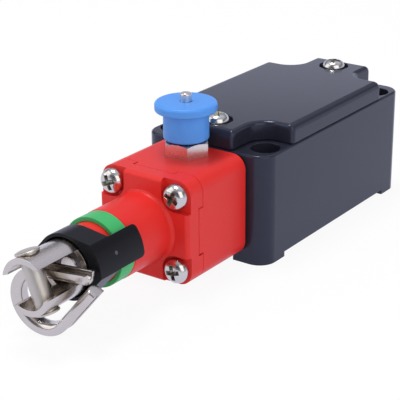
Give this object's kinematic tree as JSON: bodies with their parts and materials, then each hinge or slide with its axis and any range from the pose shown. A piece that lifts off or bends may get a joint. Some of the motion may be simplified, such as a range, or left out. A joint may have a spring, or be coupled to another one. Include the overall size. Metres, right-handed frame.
{
  "type": "rope pull switch",
  "caption": "Rope pull safety switch: die-cast housing with cover, red head with a sprung pull shaft, swivelling rope eye and thimble, green tension ring and blue reset knob.",
  "frame": {"origin": "middle of the four fixing holes, on the plane of the feet", "axes": "+X across the switch, +Y along it towards the conduit entry (the rope eye is at -Y), +Z away from the mounting surface towards the cover"},
  "size_m": [0.04, 0.1458, 0.0478],
  "materials": {
    "black_enamel": "semi-gloss black enamel on die-cast metal",
    "red_enamel": "semi-gloss red enamel",
    "green_plastic": "satin",
    "blue_plastic": "satin",
    "red_plastic": "satin",
    "black_plastic": "satin",
    "white_plastic": "satin",
    "rubber": "matt",
    "sheet_steel": "pressed and plated",
    "turned_steel": "turned and plated",
    "screw_steel": "bright plated",
    "spring_steel": "drawn wire",
    "bronze": "sintered",
    "brass": "stamped"
  },
  "bodies": {
    "base": {"housing": "black_enamel", "cover": "black_enamel", "cover_gasket": "rubber", "cover_screws": "screw_steel", "head_gasket": "rubber", "head_body": "red_enamel", "head_front": "red_enamel", "head_screws": "screw_steel", "tension_ring": "green_plastic", "guide_bush": "bronze", "shaft_seal": "rubber", "rear_guide": "white_plastic", "main_spring": "spring_steel", "hex_bushing": "turned_steel", "reset_spring": "spring_steel", "contact_block": "white_plastic", "lever_pin": "turned_steel", "plunger_spring": "spring_steel", "fixed_contacts": "brass", "terminal_screws": "screw_steel", "block_screws": "screw_steel", "earth_screw": "brass"},
    "pull": {"pull_shaft": "turned_steel", "shaft_nut": "turned_steel", "spring_plate": "turned_steel", "retaining_clip": "spring_steel"},
    "eye": {"indicator_cap": "black_plastic", "eye_fork": "sheet_steel", "eye_rivet": "sheet_steel"},
    "thimble": {"rope_thimble": "sheet_steel"},
    "reset": {"reset_knob": "blue_plastic", "reset_pin": "turned_steel"},
    "lever": {"trip_lever": "turned_steel"},
    "plunger": {"contact_plunger": "red_plastic", "contact_bridges": "brass"}
  },
  "joints": [
    {"name": "rope_pull", "type": "slide", "parent": "base", "child": "pull", "axis": [0, -1, 0], "range_m": [0, 0.0085], "stiffness_N_per_m": 1500, "springref_m": -0.002, "deforming": ["main_spring", "plunger_spring"]},
    {"name": "eye_swivel", "type": "hinge", "parent": "pull", "child": "eye", "pos_m": [0, -0.09, 0.017], "axis": [0, 1, 0], "continuous": true},
    {"name": "thimble_tilt", "type": "hinge", "parent": "eye", "child": "thimble", "pos_m": [0.00129, -0.099, 0.01364], "axis": [0.9336, 0, 0.3584], "range_deg": [-10, 2]},
    {"name": "reset_pull", "type": "slide", "parent": "base", "child": "reset", "axis": [0, 0, 1], "range_m": [0, 0.0035], "stiffness_N_per_m": 800, "springref_m": -0.001, "deforming": ["reset_spring"]},
    {"name": "lever_swing", "type": "hinge", "parent": "base", "child": "lever", "pos_m": [0, -0.0176, 0.0286], "axis": [1, 0, 0], "range_deg": [-41.6, 0]},
    {"name": "plunger_slide", "type": "slide", "parent": "base", "child": "plunger", "axis": [0, -1, 0], "range_m": [0, 0.0031]}
  ],
  "couplings": [
    {"joint": "lever_swing", "follows": "rope_pull", "rad_per_m": -85.18},
    {"joint": "plunger_slide", "follows": "rope_pull", "ratio": 0.3564}
  ]
}
